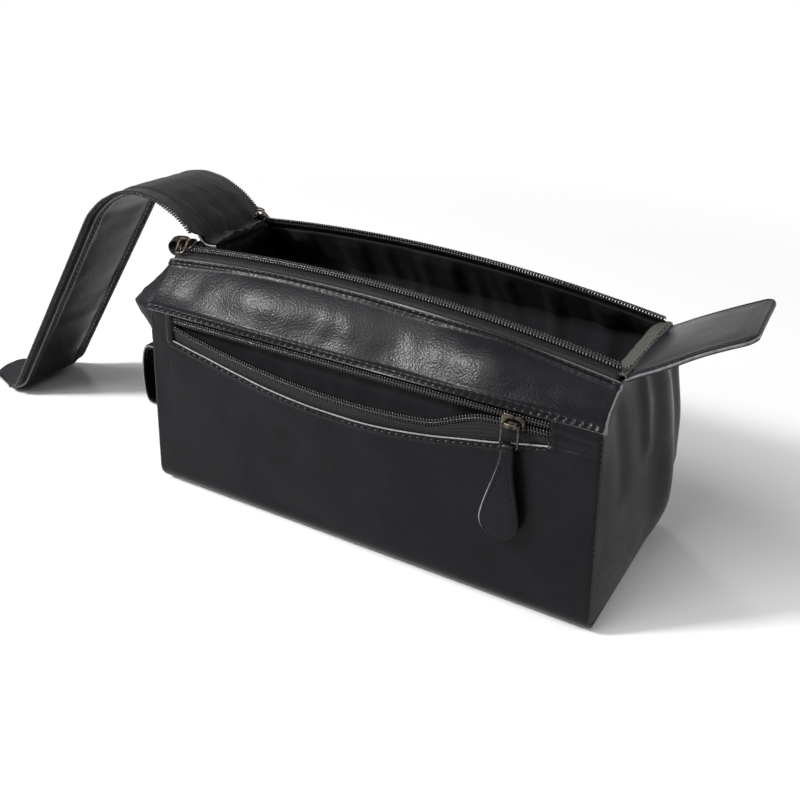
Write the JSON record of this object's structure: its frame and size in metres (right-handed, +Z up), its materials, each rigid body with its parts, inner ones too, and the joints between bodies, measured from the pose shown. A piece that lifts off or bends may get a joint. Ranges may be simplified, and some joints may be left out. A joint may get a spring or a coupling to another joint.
{
  "type": "toiletry bag",
  "caption": "Soft black toiletry bag with a long lid strip on two zips, thrown open to one side, a zipped front pocket, a grab tab and a carry loop.",
  "frame": {"origin": "centre of the flat base, on the table", "axes": "+X along the bag to the right as seen from the front, +Y to the rear, +Z up; the front wall with the pocket faces -Y and the lid lies open to -X"},
  "size_m": [0.4746, 0.1192, 0.1529],
  "materials": {
    "leather": "smooth black coated leather with a fine soft grain and a semi-gloss",
    "lining": "thin black woven lining with a slight sheen",
    "zip_tape": "matt black woven zip tape",
    "zip_coil": "glossy black coil teeth",
    "zip_metal": "dark nickel plated, polished",
    "stiffener": "plain board, hidden under the lining"
  },
  "bodies": {
    "bag": {"front_panel": "leather", "back_panel": "leather", "front_band": "leather", "back_band": "leather", "bottom_panel": "leather", "left_end_panel": "leather", "right_end_panel": "leather", "bottom_board": "stiffener", "bottom_lining": "lining", "front_lining": "lining", "back_lining": "lining", "left_lining": "lining", "right_lining": "lining", "front_tape": "zip_tape", "front_coil": "zip_coil", "back_tape": "zip_tape", "back_coil": "zip_coil", "right_end_binding": "zip_tape", "pocket_upper_tape": "zip_tape", "pocket_upper_coil": "zip_coil", "pocket_lower_tape": "zip_tape", "pocket_lower_coil": "zip_coil", "pocket_lining": "lining", "lid_root": "leather", "lid_root_lining": "lining", "carry_loop": "leather"},
    "lid_01": {"lid_leather_01": "leather", "lid_lining_01": "lining"},
    "lid_02": {"lid_leather_02": "leather", "lid_lining_02": "lining"},
    "lid_03": {"lid_leather_03": "leather", "lid_lining_03": "lining"},
    "lid_04": {"lid_leather_04": "leather", "lid_lining_04": "lining"},
    "lid_05": {"lid_leather_05": "leather", "lid_lining_05": "lining"},
    "lid_06": {"lid_leather_06": "leather", "lid_lining_06": "lining"},
    "lid_07": {"lid_leather_07": "leather", "lid_lining_07": "lining"},
    "lid_08": {"lid_leather_08": "leather", "lid_lining_08": "lining"},
    "lid_09": {"lid_leather_09": "leather", "lid_lining_09": "lining"},
    "lid_10": {"lid_leather_10": "leather", "lid_lining_10": "lining"},
    "lid_11": {"lid_leather_11": "leather", "lid_lining_11": "lining"},
    "lid_12": {"lid_leather_12": "leather", "lid_lining_12": "lining"},
    "lid_13": {"lid_leather_13": "leather", "lid_lining_13": "lining"},
    "front_slider": {"front_slider": "zip_metal"},
    "front_bail": {"front_slider_bail": "zip_metal"},
    "back_slider": {"back_slider": "zip_metal"},
    "back_bail": {"back_slider_bail": "zip_metal"},
    "pocket_slider": {"pocket_slider": "zip_metal"},
    "pocket_bail": {"pocket_bail": "zip_metal"},
    "pocket_pull": {"pocket_pull": "leather"},
    "grab_tab": {"grab_tab": "leather"}
  },
  "joints": [
    {"name": "lid_bend_01", "type": "hinge", "parent": "bag", "child": "lid_01", "pos_m": [-0.112, 0, 0.13002], "axis": [0, 1, 0], "range_deg": [0, 94.48]},
    {"name": "lid_bend_02", "type": "hinge", "parent": "lid_01", "child": "lid_02", "pos_m": [-0.11287, 0, 0.13494], "axis": [0, 1, 0], "range_deg": [0, 40.62]},
    {"name": "lid_bend_03", "type": "hinge", "parent": "lid_02", "child": "lid_03", "pos_m": [-0.12359, 0, 0.14394], "axis": [0, 1, 0], "range_deg": [0, 15.91]},
    {"name": "lid_bend_04", "type": "hinge", "parent": "lid_03", "child": "lid_04", "pos_m": [-0.13628, 0, 0.14986], "axis": [0, 1, 0], "range_deg": [0, 17.91]},
    {"name": "lid_bend_05", "type": "hinge", "parent": "lid_04", "child": "lid_05", "pos_m": [-0.15015, 0, 0.15181], "axis": [0, 1, 0], "range_deg": [0, 18.91]},
    {"name": "lid_bend_06", "type": "hinge", "parent": "lid_05", "child": "lid_06", "pos_m": [-0.16393, 0, 0.14938], "axis": [0, 1, 0], "range_deg": [0, 18.91]},
    {"name": "lid_bend_07", "type": "hinge", "parent": "lid_06", "child": "lid_07", "pos_m": [-0.17629, 0, 0.1428], "axis": [0, 1, 0], "range_deg": [0, 14.91]},
    {"name": "lid_bend_08", "type": "hinge", "parent": "lid_07", "child": "lid_08", "pos_m": [-0.1867, 0, 0.13344], "axis": [0, 1, 0], "range_deg": [0, 16.8]},
    {"name": "lid_bend_09", "type": "hinge", "parent": "lid_08", "child": "lid_09", "pos_m": [-0.2128, 0, 0.09355], "axis": [0, 1, 0], "range_deg": [0, 3.1]},
    {"name": "lid_bend_10", "type": "hinge", "parent": "lid_09", "child": "lid_10", "pos_m": [-0.2389, 0, 0.05367], "axis": [0, 1, 0], "range_deg": [0, 3.1]},
    {"name": "lid_bend_11", "type": "hinge", "parent": "lid_10", "child": "lid_11", "pos_m": [-0.265, 0, 0.01379], "axis": [0, -1, 0], "range_deg": [0, 35.86]},
    {"name": "lid_bend_12", "type": "hinge", "parent": "lid_11", "child": "lid_12", "pos_m": [-0.26939, 0, 0.0071], "axis": [0, -1, 0], "range_deg": [0, 29.8]},
    {"name": "lid_bend_13", "type": "hinge", "parent": "lid_12", "child": "lid_13", "pos_m": [-0.28008, 0, 0.00165], "axis": [0, -1, 0], "range_deg": [0, 27]},
    {"name": "front_slider_run", "type": "hinge", "parent": "bag", "child": "front_slider", "pos_m": [-0.02478, -0.029, -0.74639], "axis": [0, 1, 0], "range_deg": [0, 14.52]},
    {"name": "front_bail_swing", "type": "hinge", "parent": "front_slider", "child": "front_bail", "pos_m": [-0.11603, -0.029, 0.13474], "axis": [0.9947, 0, 0.103], "range_deg": [-100, 0]},
    {"name": "back_slider_run", "type": "hinge", "parent": "bag", "child": "back_slider", "pos_m": [-0.02478, 0.029, -0.74639], "axis": [0, 1, 0], "range_deg": [0, 14.52]},
    {"name": "back_bail_swing", "type": "hinge", "parent": "back_slider", "child": "back_bail", "pos_m": [-0.11603, 0.029, 0.13474], "axis": [0.9947, 0, 0.103], "range_deg": [0, 100]},
    {"name": "pocket_slider_run", "type": "slide", "parent": "bag", "child": "pocket_slider", "axis": [-1, 0, 0], "range_m": [0, 0.174]},
    {"name": "pocket_bail_swing", "type": "hinge", "parent": "pocket_slider", "child": "pocket_bail", "pos_m": [0.081, -0.0591, 0.0975], "axis": [1, 0, 0], "range_deg": [-120, 0]},
    {"name": "pocket_pull_swing", "type": "hinge", "parent": "pocket_bail", "child": "pocket_pull", "pos_m": [0.081, -0.0591, 0.0867], "axis": [1, 0, 0], "range_deg": [-60, 0]},
    {"name": "grab_tab_bend", "type": "hinge", "parent": "bag", "child": "grab_tab", "pos_m": [0.11931, 0, 0.1179], "axis": [0, 1, 0], "range_deg": [0, 45], "stiffness_Nm_per_rad": 0.06}
  ]
}
